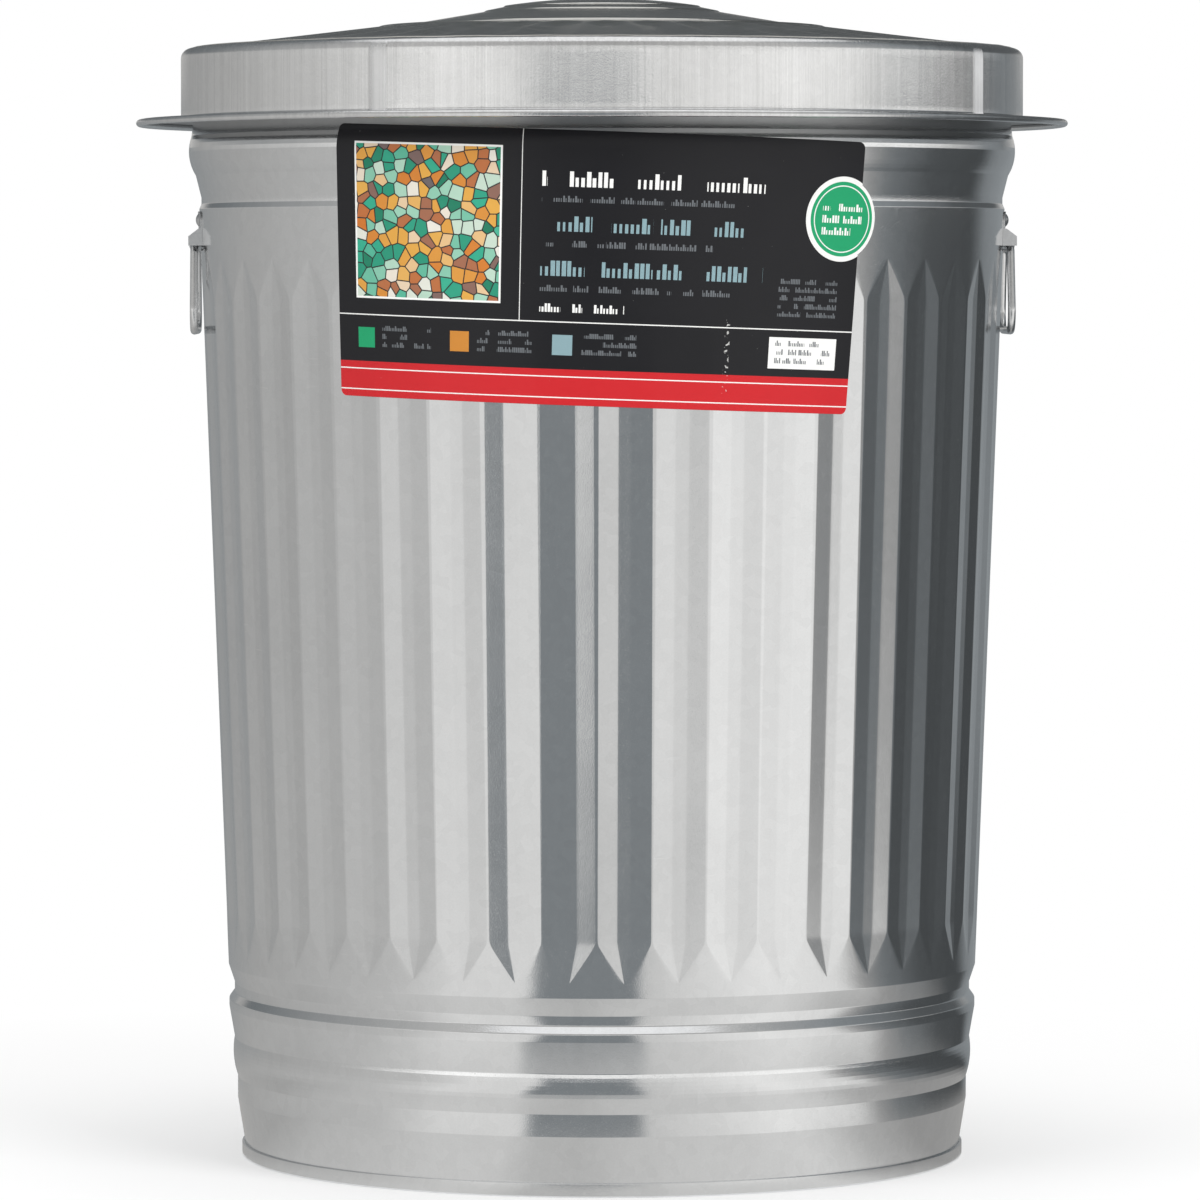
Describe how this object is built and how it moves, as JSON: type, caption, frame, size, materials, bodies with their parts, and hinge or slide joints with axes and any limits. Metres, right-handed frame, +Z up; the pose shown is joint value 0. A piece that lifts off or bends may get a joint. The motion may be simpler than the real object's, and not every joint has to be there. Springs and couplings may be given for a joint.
{
  "type": "galvanised steel trash can with lift-off lid",
  "caption": "Round tapered trash can of fluted galvanised sheet steel with beaded bands, wire drop handles at the sides and a lift-off brimmed lid, for holding refuse",
  "frame": {"origin": "middle of the ring that the can stands on", "axes": "+Z up along the can's axis, -Y towards the side with the label, +X towards the right handle"},
  "size_m": [0.5726, 0.5726, 0.7124],
  "materials": {
    "galvanised_wall": "bright zinc with fine spangle",
    "galvanised_bottom": "bright zinc",
    "galvanised_lid": "bright zinc with fine rolling streaks",
    "galvanised_ear": "dull zinc",
    "rivet_steel": "satin",
    "handle_wire": "bright zinc",
    "steel_wire": "plain",
    "printed_label": "printed film, satin"
  },
  "bodies": {
    "can": {"can_wall": "galvanised_wall", "can_rim_wire": "steel_wire", "can_bottom": "galvanised_bottom", "ear_left": "galvanised_ear", "ear_right": "galvanised_ear", "ear_rivets_left": "rivet_steel", "ear_rivets_right": "rivet_steel", "label": "printed_label"},
    "lid": {"lid_crown": "galvanised_lid", "lid_skirt": "galvanised_lid", "lid_brim_wire": "steel_wire"},
    "handle_left": {"handle_left": "handle_wire"},
    "handle_right": {"handle_right": "handle_wire"}
  },
  "joints": [
    {"name": "lid_lift", "type": "slide", "parent": "can", "child": "lid", "axis": [0, 0, 1], "range_m": [0, 0.5]},
    {"name": "handle_right_swing", "type": "hinge", "parent": "can", "child": "handle_right", "pos_m": [0.25006, 0, 0.5605], "axis": [0, -1, 0], "range_deg": [0, 90]},
    {"name": "handle_left_swing", "type": "hinge", "parent": "can", "child": "handle_left", "pos_m": [-0.25006, 0, 0.5605], "axis": [0, 1, 0], "range_deg": [0, 90]}
  ]
}
